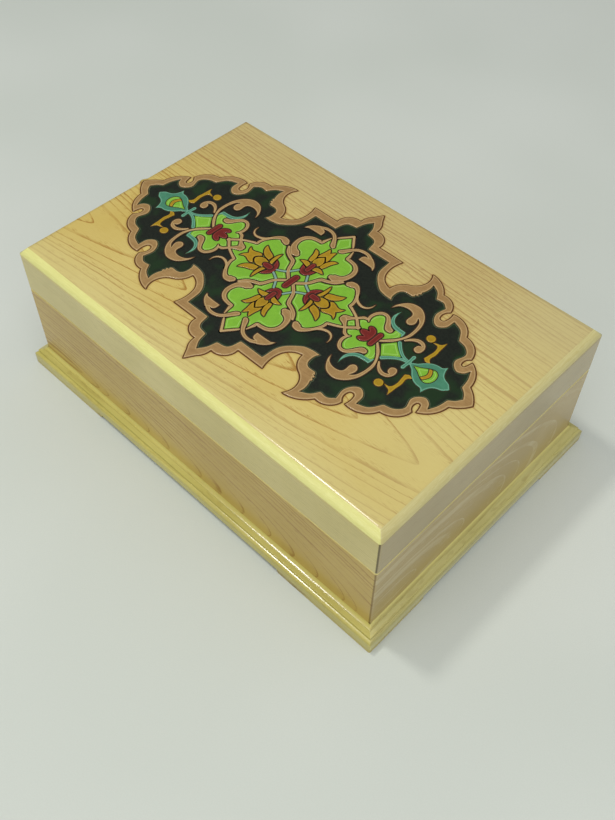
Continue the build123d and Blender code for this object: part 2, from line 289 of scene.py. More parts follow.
def relief(outlines, base, height, rounding):
    """Points, faces and edge distances of a raised shape with rounded edges."""
    outlines = [divided(o) for o in outlines]
    starts, ends = edges_of(outlines)
    rim = np.concatenate(outlines)
    extra = []
    for reach in rim_distances:
        for outline in outlines:
            points = outline + inward(outline) * reach
            keep = distance(points, starts, ends) > reach * 0.94
            extra.append(points[keep & within(points, starts, ends)])
    low, high = rim.min(0), rim.max(0)
    columns, rows = (np.arange(a, b, inner_spacing) for a, b in zip(low, high))
    grid = np.stack(np.meshgrid(columns, rows), -1).reshape(-1, 2)
    if len(grid):
        keep = distance(grid, starts, ends) > rim_distances[-1] * 1.3
        extra.append(grid[keep & within(grid, starts, ends)])
    points = np.concatenate([rim, *extra])
    joins, first = [], 0
    for outline in outlines:
        joins += loop(first, len(outline))
        first += len(outline)
    flat, triangles = triangulated(points, joins)
    triangles = triangles[within(flat[triangles].mean(1), starts, ends)]
    turn = flat[triangles]
    ab, ac = turn[:, 1] - turn[:, 0], turn[:, 2] - turn[:, 0]
    wrong = ab[:, 0] * ac[:, 1] - ab[:, 1] * ac[:, 0] < 0
    triangles[wrong] = triangles[wrong][:, ::-1]

    away = distance(flat, starts, ends)
    away[away < 1e-4] = 0
    t = np.clip(away / rounding, 0, 1)
    rise = rim_share + (1 - rim_share) * np.sqrt(1 - (1 - t) ** 2)
    vertices = [(*p, base + (height - base) * r) for p, r in zip(flat, rise)]
    faces = [tuple(int(i) for i in f) for f in triangles]
    used = dict.fromkeys(edge for f in faces for edge in zip(f, f[1:] + f[:1]))
    lower = {}

    def below(i):
        if i not in lower:
            lower[i] = len(vertices)
            vertices.append((*flat[i], base))
        return lower[i]

    for a, b in used:
        if (b, a) not in used:
            faces.append((b, a, below(a), below(b)))
    return vertices, faces, [*away, *[0.0] * len(lower)]


def merged(parts):
    """Several (points, faces, distances) as one."""
    vertices, faces, away = [], [], []
    for v, f, a in parts:
        first = len(vertices)
        vertices += v
        faces += [tuple(i + first for i in face) for face in f]
        away += list(a)
    return vertices, faces, away


def line_round(outlines, level, inside, outside):
    """A thin flat line that follows each outline."""
    parts = []
    for outline in outlines:
        outline = divided(outline)
        if area(outline) < 0:
            outline = outline[::-1]
        into = inward(outline)
        inner, outer = outline + into * inside, outline - into * outside
        count = len(outline)
        vertices = [(*p, level) for p in inner] + [(*p, level) for p in outer]
        faces = [(i, i + count, j + count, j) for i, j in loop(0, count)]
        parts.append((vertices, faces, [inside] * count + [outside] * count))
    return merged(parts)


def raised(name, outlines, base, height, material, slot_name, rounding=0.35, line=None, line_width=0.55):
    """A piece of the relief: its shapes, and the dark line painted round them."""
    parts = []
    for i, outline in enumerate(outlines):
        outline = outline if area(outline) > 0 else outline[::-1]
        parts.append(relief([outline], base, height + i * layer_gap, rounding))
    obj = put(name, *merged(parts), material, slot_name)
    if line:
        at = base + outline_lift
        put(name + "_line", *line_round(outlines, at, 0.2, line_width), line, slot_name)
    return obj


# Materials


def srgb(red, green, blue):
    """Linear colour from 0-255 values."""
    shares = (red / 255, green / 255, blue / 255)
    return tuple(((c + 0.055) / 1.055) ** 2.4 if c > 10 / 255 else c / 12.92 for c in shares) + (1,)


class Finish:
    """A node material under construction."""

    def __init__(self, name, roughness=0.4, coat=0.0, coat_roughness=0.1, metallic=0.0):
        self.material = bpy.data.materials.new(name)
        self.material.use_nodes = True
        self.tree = self.material.node_tree
        self.shader = self.tree.nodes["Principled BSDF"]
        self.shader.inputs["Roughness"].default_value = roughness
        self.shader.inputs["Coat Weight"].default_value = coat
        self.shader.inputs["Coat Roughness"].default_value = coat_roughness
        self.shader.inputs["Metallic"].default_value = metallic
        where = self.node("ShaderNodeTexCoord")
        self.place = where.outputs["Object"]
        self.facing = where.outputs["Normal"]

    def node(self, kind, **settings):
        made = self.tree.nodes.new(kind)
        for name, value in settings.items():
            setattr(made, name, value)
        return made

    def feed(self, socket, value):
        if isinstance(value, bpy.types.NodeSocket):
            self.tree.links.new(value, socket)
        else:
            socket.default_value = value

    def maths(self, operation, a, b=0.0):
        made = self.node("ShaderNodeMath", operation=operation)
        self.feed(made.inputs[0], a)
        self.feed(made.inputs[1], b)
        return made.outputs[0]

    def times(self, first, *others):
        for other in others:
            first = self.maths("MULTIPLY", first, other)
        return first

    def plus(self, a, b):
        return self.maths("ADD", a, b)

    def split(self, vector):
        made = self.node("ShaderNodeSeparateXYZ")
        self.feed(made.inputs[0], vector)
        return made.outputs

    def joined(self, x, y, z):
        made = self.node("ShaderNodeCombineXYZ")
        for socket, value in zip(made.inputs, (x, y, z)):
            self.feed(socket, value)
        return made.outputs[0]

    def stretched(self, x, y, z):
        """The object's own place, scaled along each axis."""
        axes = self.split(self.place)
        return self.joined(*(self.times(axis, factor) for axis, factor in zip(axes, (x, y, z))))

    def noise(self, vector, scale, detail=2.0, roughness=0.5):
        made = self.node("ShaderNodeTexNoise")
        self.feed(made.inputs["Vector"], vector)
        made.inputs["Scale"].default_value = scale
        made.inputs["Detail"].default_value = detail
        made.inputs["Roughness"].default_value = roughness
        return made.outputs["Fac"]

    def between(self, value, low, high, to_low=0.0, to_high=1.0, kind="SMOOTHSTEP"):
        made = self.node("ShaderNodeMapRange", interpolation_type=kind)
        for socket, v in zip(made.inputs, (value, low, high, to_low, to_high)):
            self.feed(socket, v)
        return made.outputs[0]

    def mix(self, factor, first, second):
        made = self.node("ShaderNodeMix", data_type="RGBA")
        self.feed(made.inputs[0], factor)
        self.feed(made.inputs[6], first)
        self.feed(made.inputs[7], second)
        return made.outputs[2]

    def turned(self, factor, first, second):
        """Direction between the two."""
        made = self.node("ShaderNodeMix", data_type="VECTOR")
        self.feed(made.inputs[0], factor)
        self.feed(made.inputs[4], first)
        self.feed(made.inputs[5], second)
        return made.outputs[1]

    def edge(self):
        return self.node("ShaderNodeAttribute", attribute_name="edge").outputs["Fac"]

    def colour(self, value):
        self.feed(self.shader.inputs["Base Color"], value)

    def surface(self, height, strength, depth, normal=None):
        """Fine unevenness, over the object's own normal or over the one given in its own axes."""
        made = self.node("ShaderNodeBump")
        made.inputs["Strength"].default_value = strength
        made.inputs["Distance"].default_value = depth
        self.feed(made.inputs["Height"], height)
        if normal:
            turned = self.node("ShaderNodeVectorTransform", vector_type="NORMAL", convert_from="OBJECT",
                               convert_to="WORLD")
            self.feed(turned.inputs[0], normal)
            self.feed(made.inputs["Normal"], turned.outputs[0])
        self.feed(self.shader.inputs["Normal"], made.outputs[0])


def veneer(
    name, along, across, light, mid, dark, heart, depth, tilt, ring_spacing,
    line_strength=0.6, line_width=0.001, drift=0.008, roughness=0.26, point=0.0,
):
    """Ash veneer: its rings meet the face as long lines, or as pointed arches near the tree's heart.

    along and across are the axes of the grain, and heart and depth the place of the tree's middle.
    point makes the arches' tips more pointed.
    Returns the finish and its colour and fine relief, for more to be laid over them.
    """
    f = Finish(name, roughness=roughness)
    axes = f.split(f.place)
    a, c, third = axes[along], axes[across], axes[3 - along - across]

    def grain(by_length, by_width, detail=2.0, roughness=0.5):
        place = f.joined(f.times(a, by_length), f.times(c, by_width), f.times(third, 30.0))
        return f.noise(place, 1.0, detail, roughness)

    sway = f.times(f.plus(grain(6.0, 14.0), -0.5), drift)
    ripple = f.times(f.plus(grain(40.0, 60.0, 3.0), -0.5), drift * 0.2)
    offset = f.plus(f.plus(c, -heart), f.plus(sway, ripple))
    below = f.plus(f.times(a, tilt), depth)
    radius = f.maths("SQRT", f.plus(f.times(offset, offset), f.times(below, below)))
    radius = f.plus(radius, f.times(f.maths("SQRT", f.plus(f.times(offset, offset), 2e-6)), point))
    seasons = f.times(f.plus(f.noise(f.joined(f.times(radius, 210.0), 0.5, 0.5), 1.0, 1.0), -0.5),
                      ring_spacing * 2.6)
    ring = f.maths("FRACT", f.times(f.plus(radius, seasons), 1 / ring_spacing))
    steepness = f.plus(f.maths("DIVIDE", f.maths("ABSOLUTE", offset), radius), point)
    share = f.maths("MAXIMUM", f.times(steepness, line_width / ring_spacing), 0.13)
    # Each line starts sharply and fades inwards over its share of the ring
    inwards = f.maths("DIVIDE", f.plus(f.times(ring, -1.0), 1.0), share)
    line = f.times(f.between(inwards, 0.0, 0.12), f.between(inwards, 0.25, 1.3, 1.0, 0.0))
    faint = f.between(grain(18.0, 150.0), 0.32, 0.6, 0.3, 1.0)
    fibres = grain(40.0, 1300.0, 3.0, 0.6)
    pores = f.between(grain(190.0, 2600.0, 1.0), 0.56, 0.66)
    near_line = f.between(inwards, 1.0, 3.6, 1.0, 0.15)
    cloud = f.noise(f.place, 14.0, 3.0)
    colour = f.mix(f.between(cloud, 0.3, 0.7), light, mid)
    colour = f.mix(f.between(fibres, 0.3, 0.72, 0.0, 0.35), colour, mid)
    colour = f.mix(f.times(line, faint, line_strength), colour, dark)
    colour = f.mix(f.times(pores, near_line, faint, line_strength), colour, dark)
    return f, colour, f.plus(fibres, f.times(pores, near_line, -1.0))


def plain_veneer(*settings, **more):
    f, colour, fine = veneer(*settings, **more)
    f.colour(colour)
    f.surface(fine, 0.1, 0.0001)
    return f.material


lid_low, lid_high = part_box("lid_front_rail")
panel_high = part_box("lid_top_panel")[1]
wall_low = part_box("body_front_wall")[0]
slope_drop = 4.3 * mm
slope_foot = lid_high.z - slope_drop
arris_reach = 2.2 * mm
quarter_turn = math.pi / 2


def lid_top_veneer(name, scorched=False):
    """The lid's top, with its edges eased, a painted sheen along its front edge and its right end, and
    greyer towards the back.
    """
    f, colour, fine = veneer(
        name, 0, 1, srgb(205, 184, 112), srgb(195, 170, 92), srgb(150, 100, 32),
        heart=-0.047, depth=0.052, tilt=0.09, ring_spacing=0.0030, line_strength=0.72, line_width=0.0012,
        roughness=0.2, point=0.17,
    )
    x, y, _ = f.split(f.place)
    # Painted sheen: paler along the front edge and towards the right end, where the lacquer mirrors the
    # light
    painted_sheen = f.maths("MAXIMUM", f.between(y, -0.09, -0.055, 0.55, 0.0), f.between(x, 0.06, 0.13, 0.0, 0.4))
    colour = f.mix(painted_sheen, colour, srgb(208, 198, 138))
    # Greyer and darker towards the back
    colour = f.mix(f.between(y, 0.0, 0.08, 0.0, 0.4), colour, srgb(176, 164, 128))
    if scorched:
        burn = f.between(f.edge(), 0.0, 2.2, 0.5, 0.0)
        line = f.between(f.edge(), 0.5, 0.85, 0.95, 0.0)
        colour = f.mix(burn, colour, srgb(150, 104, 44))
        colour = f.mix(line, colour, srgb(78, 36, 16))
    f.colour(colour)

    def lean(value, half):
        size = f.maths("ABSOLUTE", value)
        near = f.between(size, half - arris_reach, half, 0.0, math.tan(quarter_turn / 4), kind="LINEAR")
        return f.times(near, f.maths("SIGN", value))

    normal = f.joined(lean(x, panel_high.x), lean(y, panel_high.y), 1.0)
    f.surface(fine, 0.08, 0.0001, normal)
    return f.material


def mitre_line(f, front_corner, strength):
    """Strength of the dark joint line where two mitred pieces meet at an upright corner."""
    x, y, _ = f.split(f.place)
    uneven = f.maths("SUBTRACT", f.plus(f.maths("ABSOLUTE", x), front_corner.x),
                     f.plus(f.maths("ABSOLUTE", y), front_corner.y))
    return f.times(f.between(f.maths("ABSOLUTE", uneven), 0.0003, 0.0010, 1.0, 0.0), strength)


def lid_rail_veneer(name, along):
    """A lid rail: fine straight grain on its side, plain yellow wood on its slope, eased edges."""
    front = along == 0
    # Painted light: the front and back rails get lighter tints than the end rails, which stand in shade
    side_tint = ((212, 198, 136), (196, 182, 118), (150, 134, 80)) if front else (
        (180, 164, 124), (166, 150, 108), (136, 116, 78))
    # Painted highlight: the front and back rails' slope is a brighter yellow than the end rails'
    slope_tint = ((221, 218, 142), (214, 210, 132)) if front else ((204, 194, 138), (196, 184, 124))
    f, colour, fine = veneer(
        name, along, 2, *(srgb(*tint) for tint in side_tint),
        heart=0.35, depth=0.1, tilt=0.03, ring_spacing=0.0014, line_strength=0.3, line_width=0.0005,
        drift=0.004, roughness=0.2,
    )
    nx, ny, nz = f.split(f.facing)
    height = f.split(f.place)[2]
    slope = f.mix(f.between(fine, 0.2, 0.7), *(srgb(*tint) for tint in slope_tint))
    colour = f.mix(mitre_line(f, lid_low, 0.85), colour, srgb(62, 48, 22))
    f.colour(f.mix(f.between(nz, 0.3, 0.6), colour, slope))
    length = f.maths("SQRT", f.plus(f.plus(f.times(nx, nx), f.times(ny, ny)), 1e-6))
    lower, upper = slope_foot - arris_reach, slope_foot + arris_reach
    rise = f.plus(
        f.between(height, lower, upper, 0.0, quarter_turn / 2, "LINEAR"),
        f.between(height, lid_high.z - arris_reach, lid_high.z, 0.0, quarter_turn / 4, "LINEAR"),
    )
    level = f.maths("DIVIDE", f.maths("COSINE", rise), length)
    normal = f.joined(f.times(nx, level), f.times(ny, level), f.maths("SINE", rise))
    outside = f.between(nz, -0.5, -0.2)
    f.surface(fine, 0.08, 0.0001, f.turned(outside, f.facing, normal))
    return f.material


# The moulding's eased lean, in degrees, at each distance in millimetres out from the wall
moulding_lean = ((0.0, 90), (1.3, 16), (2.1, 9), (2.3, 30), (4.6, 30), (4.7, 9), (5.4, 14), (7.0, 90))


def moulding_veneer(name, along):
    """Polished yellow moulding, with a painted highlight in its cove next to the wall."""
    front = along == 0
    # Painted light: the end mouldings get lighter tints than the front and back ones, in place of light that
    # side lacks
    light, mid = ((194, 184, 104), (178, 166, 86)) if front else ((204, 196, 132), (190, 180, 112))
    f, colour, fine = veneer(
        name, along, 2, srgb(*light), srgb(*mid), srgb(142, 120, 54),
        heart=0.2, depth=0.1, tilt=0.02, ring_spacing=0.002, line_strength=0.25, line_width=0.0006,
        drift=0.004, roughness=0.18,
    )
    # Painted highlight: the cove next to the wall is made a brighter yellow
    cove_highlight = f.between(f.split(f.place)[2], 0.0118, 0.0138)
    f.colour(f.mix(f.times(cove_highlight, 0.6), colour, srgb(222, 208, 118)))
    across = f.split(f.place)[1 - along]
    from_wall = f.plus(f.maths("ABSOLUTE", across), wall_low[1 - along])
    lean = quarter_turn
    for (start, before), (end, after) in zip(moulding_lean, moulding_lean[1:]):
        change = math.radians(after - before)
        lean = f.plus(lean, f.between(from_wall, start * mm, end * mm, 0.0, change, "LINEAR"))
    outward = f.times(f.maths("SINE", lean), f.maths("SIGN", across))
    upward = f.maths("COSINE", lean)
    eased = f.joined(0.0, outward, upward) if front else f.joined(outward, 0.0, upward)
    normal = f.turned(f.between(f.split(f.facing)[2], 0.02, 0.1), f.facing, eased)
    ripples = f.noise(f.stretched(420.0, 420.0, 900.0), 1.0, 2.0)
    f.surface(f.plus(f.times(fine, 0.3), ripples), 0.2, 0.0002, normal)
    return f.material


def wall_veneer(name, along, tints, heart, depth, tilt, ring_spacing, line_strength, line_width):
    """A body wall, with a painted highlight on its rounded rim."""
    f, colour, fine = veneer(
        name, along, 2, *(srgb(*tint) for tint in tints), heart=heart, depth=depth, tilt=tilt,
        ring_spacing=ring_spacing, line_strength=line_strength, line_width=line_width,
    )
    colour = f.mix(mitre_line(f, wall_low, 0.6), colour, srgb(80, 60, 28))
    # Painted highlight: faces turned upwards, on the rounded rim and the top edge, are made pale yellow
    upward = f.between(f.split(f.facing)[2], 0.15, 0.6)
    f.colour(f.mix(f.times(upward, 0.8), colour, srgb(224, 212, 136)))
    f.surface(fine, 0.08, 0.0001)
    return f.material


def paint(name, body, rim, shade, rim_at=0.42, rim_reach=0.3, rim_amount=0.65, streaks=0.0):
    """Lacquered paint, unevenly laid on, with a painted highlight along the edges of each shape and darker
    at the very edge.
    """
    f = Finish(name, roughness=0.4, coat=0.5, coat_roughness=0.18)
    mottle = f.noise(f.place, 420.0, 3.0, 0.6)
    broad = f.noise(f.place, 60.0, 2.0)
    base = f.mix(f.between(mottle, 0.3, 0.72, 0.0, 0.5), body, shade)
    base = f.mix(f.between(broad, 0.35, 0.65, 0.0, 0.3), base, shade)
    if streaks:
        lines = f.noise(f.stretched(90.0, 1300.0, 1.0), 1.0, 2.0, 0.6)
        base = f.mix(f.between(lines, 0.45, 0.7, 0.0, streaks), base, shade)
    away = f.edge()
    # Painted highlight: a lighter band just inside each shape's edge, where the raised paint rounds over
    rise = f.between(away, rim_at - rim_reach, rim_at)
    fall = f.between(away, rim_at, rim_at + rim_reach * 1.6, 1.0, 0.0)
    base = f.mix(f.times(rise, fall, rim_amount), base, rim)
    # Darker at the very edge of each shape
    base = f.mix(f.between(away, 0.0, 0.14, 0.55, 0.0), base, shade)
    f.colour(base)
    f.surface(mottle, 0.12, 0.0001)
    return f.material


def ground_paint():
    """Green-black ground, greener in patches and beside the border."""
    f = Finish("ground_paint", roughness=0.35, coat=0.5, coat_roughness=0.15)
    patches = f.between(f.noise(f.place, 55.0, 2.0), 0.5, 0.66)
    beside = f.between(f.edge(), 2.0, 5.0, 1.0, 0.0)
    spots = f.between(f.noise(f.place, 110.0, 3.0), 0.35, 0.7)
    green = f.maths("MAXIMUM", f.times(patches, 0.7), f.times(beside, spots))
    speckle = f.noise(f.place, 900.0, 2.0)
    base = f.mix(f.between(speckle, 0.3, 0.7), srgb(18, 24, 15), srgb(27, 33, 23))
    f.colour(f.mix(green, base, srgb(24, 54, 20)))
    f.surface(speckle, 0.1, 0.0001)
    return f.material


def dark_lacquer(name, first, second):
    """Dark lacquer of two close colours that run into each other."""
    f = Finish(name, roughness=0.45, coat=0.4, coat_roughness=0.2)
    cloud = f.noise(f.place, 300.0, 3.0, 0.6)
    f.colour(f.mix(f.between(cloud, 0.35, 0.7), first, second))
    f.surface(cloud, 0.1, 0.0001)
    return f.material


def brass():
    f = Finish("brass", roughness=0.3, metallic=1.0)
    brushed = f.noise(f.stretched(60.0, 1500.0, 1500.0), 1.0, 2.0)
    f.colour(f.mix(f.between(brushed, 0.3, 0.7), srgb(205, 170, 96), srgb(176, 140, 72)))
    f.surface(brushed, 0.1, 0.0001)
    return f.material


def velvet():
    f = Finish("velvet", roughness=0.9)
    f.shader.inputs["Sheen Weight"].default_value = 0.6
    f.shader.inputs["Sheen Roughness"].default_value = 0.4
    pile = f.noise(f.place, 2600.0, 2.0, 0.6)
    nap = f.noise(f.place, 30.0, 2.0)
    base = f.mix(f.between(nap, 0.3, 0.7), srgb(92, 17, 25), srgb(78, 13, 21))
    f.colour(f.mix(f.between(pile, 0.3, 0.7, 0.0, 0.5), base, srgb(52, 7, 13)))
    f.surface(pile, 0.4, 0.0003)
    return f.material


top_wood = lid_top_veneer("top_wood")
scorched_wood = lid_top_veneer("scorched_wood", scorched=True)
rail_x, rail_y = lid_rail_veneer("rail_wood_x", 0), lid_rail_veneer("rail_wood_y", 1)
moulding_x, moulding_y = moulding_veneer("moulding_wood_x", 0), moulding_veneer("moulding_wood_y", 1)
wall_x = wall_veneer("wall_wood_x", 0, ((194, 168, 94), (180, 152, 76), (140, 98, 40)), heart=0.018,
                     depth=0.020, tilt=0.16, ring_spacing=0.0030, line_strength=0.7, line_width=0.0011)
wall_y = wall_veneer("wall_wood_y", 1, ((180, 158, 106), (168, 146, 94), (202, 188, 150)), heart=0.026,
                     depth=0.028, tilt=0.36, ring_spacing=0.0110, line_strength=0.5, line_width=0.0060)
foot_wood = plain_veneer("foot_wood", 0, 1, srgb(186, 172, 96), srgb(168, 152, 80), srgb(126, 104, 50),
                         heart=0.0, depth=0.1, tilt=0.02, ring_spacing=0.003)
board = plain_veneer("base_board", 0, 1, srgb(200, 180, 140), srgb(184, 160, 118), srgb(150, 122, 80),
                     heart=0.0, depth=0.05, tilt=0.1, ring_spacing=0.006, roughness=0.7)
green_paint = paint("green_paint", srgb(124, 179, 44), srgb(172, 214, 116), srgb(108, 163, 38), rim_at=1.1,
                    rim_amount=0.55)
tan_paint = paint("tan_paint", srgb(164, 130, 80), srgb(196, 168, 116), srgb(140, 106, 60), streaks=0.5)
ochre_paint = paint("ochre_paint", srgb(170, 135, 0), srgb(182, 148, 24), srgb(138, 102, 0))
red_paint = paint("red_paint", srgb(119, 26, 17), srgb(150, 62, 50), srgb(88, 16, 11))
teal_paint = paint("teal_paint", srgb(70, 134, 104), srgb(128, 182, 156), srgb(54, 112, 84))
stem_paint = paint("stem_paint", srgb(92, 136, 116), srgb(146, 178, 164), srgb(60, 96, 74))
ground_lacquer = ground_paint()
line_paint = dark_lacquer("line_paint", srgb(44, 24, 9), srgb(58, 36, 12))
field_line_paint = dark_lacquer("field_line_paint", srgb(36, 34, 12), srgb(50, 50, 16))
gleam_paint = dark_lacquer("gleam_paint", srgb(84, 92, 66), srgb(56, 74, 46))
brass_metal = brass()
velvet_pile = velvet()

by_node = {"lid_top_panel": top_wood, "body_bottom_panel": board}
for side in ("front", "back", "left", "right"):
    x_run = side in ("front", "back")
    by_node[f"lid_{side}_rail"] = rail_x if x_run else rail_y
    by_node[f"body_{side}_wall"] = wall_x if x_run else wall_y
    by_node[f"plinth_{side}_moulding"] = moulding_x if x_run else moulding_y
by_kind = {"foot_": foot_wood, "hinge_": brass_metal, "_lining": velvet_pile}
for name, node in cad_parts.items():
    chosen = by_node.get(name) or next((m for part, m in by_kind.items() if part in name), None)
    if chosen:
        node.data.materials.clear()
        node.data.materials.append(chosen)


# The ornament

# Ground sheet
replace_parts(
    put("medallion_ground_sheet", *relief(node_outlines("medallion_ground"), -ground_depth, 0.0, 0.1),
        ground_lacquer, "ground_dark_green"), "medallion_ground")

# Border band: its outer edge is the CAD band's, and its inner edge has the horns' feathered nicks
border_outer = max(node_outlines("medallion_border"), key=area)
inner_quarter = [
    (0, 70.9, "sharp"), (3.0, 66.2), (4.5, 60.3, "sharp"), (10.9, 58.4), (13.1, 50.9, "sharp"),
    (29.1, 50.9, "sharp"), (30.7, 39.5), (38.8, 30.8), (44.2, 29.0), (49.7, 28.7, "sharp"), (48.6, 30.6),
    (48.3, 33.0), (48.6, 36.0), (49.7, 37.9), (51.5, 38.9), (54.0, 39.0), (55.9, 38.9, "sharp"),
    (57.2, 40.1), (56.7, 40.9, "sharp"), (58.3, 41.6), (57.6, 42.8, "sharp"), (58.9, 43.8),
    (58.3, 45.0, "sharp"), (59.2, 47.2), (59.7, 50.0), (59.6, 52.3), (59.2, 54.1, "sharp"), (64.2, 51.2),
    (67.3, 46.6, "sharp"), (71.9, 47.0), (75.6, 44.3, "sharp"), (74.6, 36.6), (79.5, 30.6), (84.4, 33.4),
    (85.3, 39.8, "sharp"), (91.5, 37.0), (95.6, 30.6, "sharp"), (100.9, 29.1), (104.5, 24.8),
    (103.1, 17.4), (107.5, 12.6), (111.5, 14.0), (113.4, 17.6, "sharp"), (115.8, 12.0),
    (116.8, 5.9, "sharp"), (119.9, 3.5), (122.2, 0, "sharp"),
]
quarter = curve_through(inner_quarter, False)
half_edge = np.concatenate([quarter, quarter[-2::-1] * (1, -1)])
border_inner = np.concatenate([half_edge, half_edge[-2:0:-1] * (-1, 1)])
if area(border_inner) > 0:
    border_inner = border_inner[::-1]
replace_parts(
    put("medallion_border_band", *relief([border_outer, border_inner], 0.0, border_height, 0.4), tan_paint,
        "border_tan"), "medallion_border")
put("medallion_border_inner_line", *line_round([border_inner], outline_lift, 0.4, 0.1), field_line_paint,
    "border_tan")
put("medallion_border_gleam", *line_round([border_inner], outline_lift / 2, 0.75, 0.1), gleam_paint,
    "border_tan")


def scorch(outline, reach):
    """Ring of burnt wood outside the border, level with the lid."""
    outline = divided(outline)
    starts, ends = edges_of([outline])
    away_from = -inward(outline)
    points = [outline]
    for step in (0.12, 0.25, 0.4, 0.6, 0.8, 1.0):
        ring = outline + away_from * step * reach
        keep = (distance(ring, starts, ends) > step * reach * 0.95) & ~within(ring, starts, ends)
        points.append(ring[keep])
    points = np.concatenate(points)
    flat, triangles = triangulated(points, loop(0, len(outline)))
    middle = flat[triangles].mean(1)
    keep = ~within(middle, starts, ends) & (distance(middle, starts, ends) < reach)
    away = distance(flat, starts, ends)
    vertices = [(*p, h) for p, h in zip(flat, np.interp(away, (0, reach), (0.012, 0.002)))]
    return vertices, [tuple(int(i) for i in f) for f in triangles[keep]], away


put("medallion_scorch", *scorch(border_outer, 2.3), scorched_wood, "top_veneer")

# Light green fields
long_petal = half_shape([
    (3.9, 0, "sharp"), (6.7, 2.2), (9.2, 5.4), (10.4, 8.4), (11.7, 10.9, "sharp"), (15.0, 12.0),
    (18.9, 14.2), (21.1, 16.4), (22.8, 18.9, "sharp"), (25.6, 19.8), (28.7, 20.8), (31.1, 20.3),
    (33.4, 18.1), (35.0, 14.8), (35.6, 12.0), (35.9, 8.4, "sharp"), (39.6, 7.2), (43.6, 5.3, "sharp"),
    (41.6, 0, "sharp")], 1)
short_petal = half_shape([
    (0, 1.4), (3.2, 2.4), (5.8, 4.6), (8.0, 8.0), (8.7, 11.0), (9.2, 14.2, "sharp"), (12.3, 15.3, "sharp"),
    (11.9, 18.0), (13.4, 21.4, "sharp"), (16.6, 22.3), (18.6, 24.2), (19.4, 27.0), (18.9, 29.8),
    (17.3, 32.4), (15.0, 33.9), (12.4, 34.2), (9.6, 34.2, "sharp"), (9.4, 37.8), (8.1, 41.4, "sharp"),
    (6.1, 38.7), (3.2, 37.2, "sharp"), (2.5, 40.2), (4.6, 44.8, "sharp"), (0, 50.9, "sharp")], 0)
cartouche = half_shape([
    (50.9, 0, "sharp"), (47.6, 5.2, "sharp"), (49.2, 6.7), (51.7, 7.5, "sharp"), (51.6, 10.9), (52.4, 13.7),
    (54.6, 15.9), (57.0, 15.9), (59.3, 13.1), (60.8, 10.2), (63.1, 8.1), (65.4, 8.4), (66.9, 10.3),
    (66.8, 12.8, "sharp"), (69.8, 13.1, "sharp"), (71.0, 10.7), (70.2, 7.4), (68.2, 4.3), (65.6, 1.8),
    (64.6, 0, "sharp")], 1)
arrow = half_shape([
    (67.5, 0, "sharp"), (70.3, 3.5), (72.7, 6.6, "sharp"), (76.2, 3.4), (81.0, 0, "sharp")], 1)
crossing = half_shape([(43.2, 0), (45.9, 3.2, "sharp"), (49.4, 0, "sharp")], 1)
tuck = 0.35  # how far a field runs under the ribbons round it


def tucked(outline):
    """The outline, let out all round."""
    turned = outline if area(outline) > 0 else outline[::-1]
    return turned - inward(turned) * tuck


for name, outlines, node in (
    ("medallion_long_petal_fields", both_ends(tucked(long_petal)), "medallion_long_petals"),
    ("medallion_short_petal_fields", both_sides(tucked(short_petal)), "medallion_short_petals"),
    ("medallion_cartouche_fields", both_ends(tucked(cartouche), arrow, crossing), "medallion_cartouches"),
):
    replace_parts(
        raised(name, outlines, 0.0, field_height, green_paint, "field_green", line=field_line_paint), node)

# Teal palmette at each end, its green heart and its ochre chevron
leaf = half_shape([
    (87.4, 0), (90.4, 2.8), (93.1, 5.9), (95.9, 8.1), (98.9, 9.1), (101.6, 9.4), (103.6, 11.6, "sharp"),
    (104.3, 8.4), (105.7, 5.6), (107.8, 4.0), (110.6, 3.0), (112.4, 1.2), (113.2, 0)], 1)
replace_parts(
    raised("medallion_palmette_leaves", both_ends(leaf), 0.0, field_height, teal_paint, "palmette_teal",
           line=field_line_paint), "medallion_palmettes")
heart_field = half_shape([
    (90.0, 0, "sharp"), (93.1, 1.3), (95.9, 3.1), (98.5, 4.6), (101.0, 4.9), (103.1, 3.2), (103.9, 0)], 1)
raised("medallion_palmette_hearts", both_ends(heart_field), field_height, heart_height, green_paint,
       "field_green", line=line_paint, line_width=0.5)
chevron = half_shape([
    (98.7, 0), (98.3, 1.6), (97.0, 3.9, "sharp"), (98.9, 4.5, "sharp"), (100.2, 2.4), (100.9, 0)], 1)
raised("medallion_chevrons", both_ends(chevron), heart_height, flower_height, ochre_paint,
       "border_tan", line=line_paint, line_width=0.4)

# Teal stems
outer_stem = band([(74.0, 7.4, 2.3), (76.8, 4.6, 2.1), (80.0, 2.1, 2.0), (83.2, 0.7, 1.9), (87.5, 0.2, 1.9)])
cross_bar = half_shape([
    (85.4, 0), (85.2, 3.2), (85.1, 4.9), (86.2, 5.9), (87.3, 4.9), (87.3, 2.8), (87.6, 0)], 1)
end_arc = shape([
    (71.9, 9.9, "sharp"), (70.7, 12.5, "sharp"), (68.0, 12.7), (64.8, 13.0), (61.7, 14.6), (59.5, 17.2),
    (58.6, 20.0), (58.8, 22.6), (59.8, 26.0, "sharp"), (60.0, 21.8), (61.2, 18.5), (63.5, 16.3),
    (67.4, 15.4), (71.5, 15.3, "sharp"), (72.1, 12.6),
])
raised("medallion_teal_stems", four_ways(outer_stem, end_arc), 0.0, stem_height, teal_paint, "palmette_teal",
       line=field_line_paint)
raised("medallion_teal_bars", both_ends(cross_bar), 0.0, stem_height + 0.05, teal_paint, "palmette_teal",
       line=field_line_paint)
linking_stem = band([(12.9, 1.2, 1.5), (10.2, 2.6, 1.5), (7.4, 4.5, 1.6), (5.5, 7.0, 1.5), (3.6, 10.0, 1.5)])
raised("medallion_linking_stems", four_ways(linking_stem), field_height, stem_height, stem_paint,
       "palmette_teal", line=line_paint, line_width=0.4)

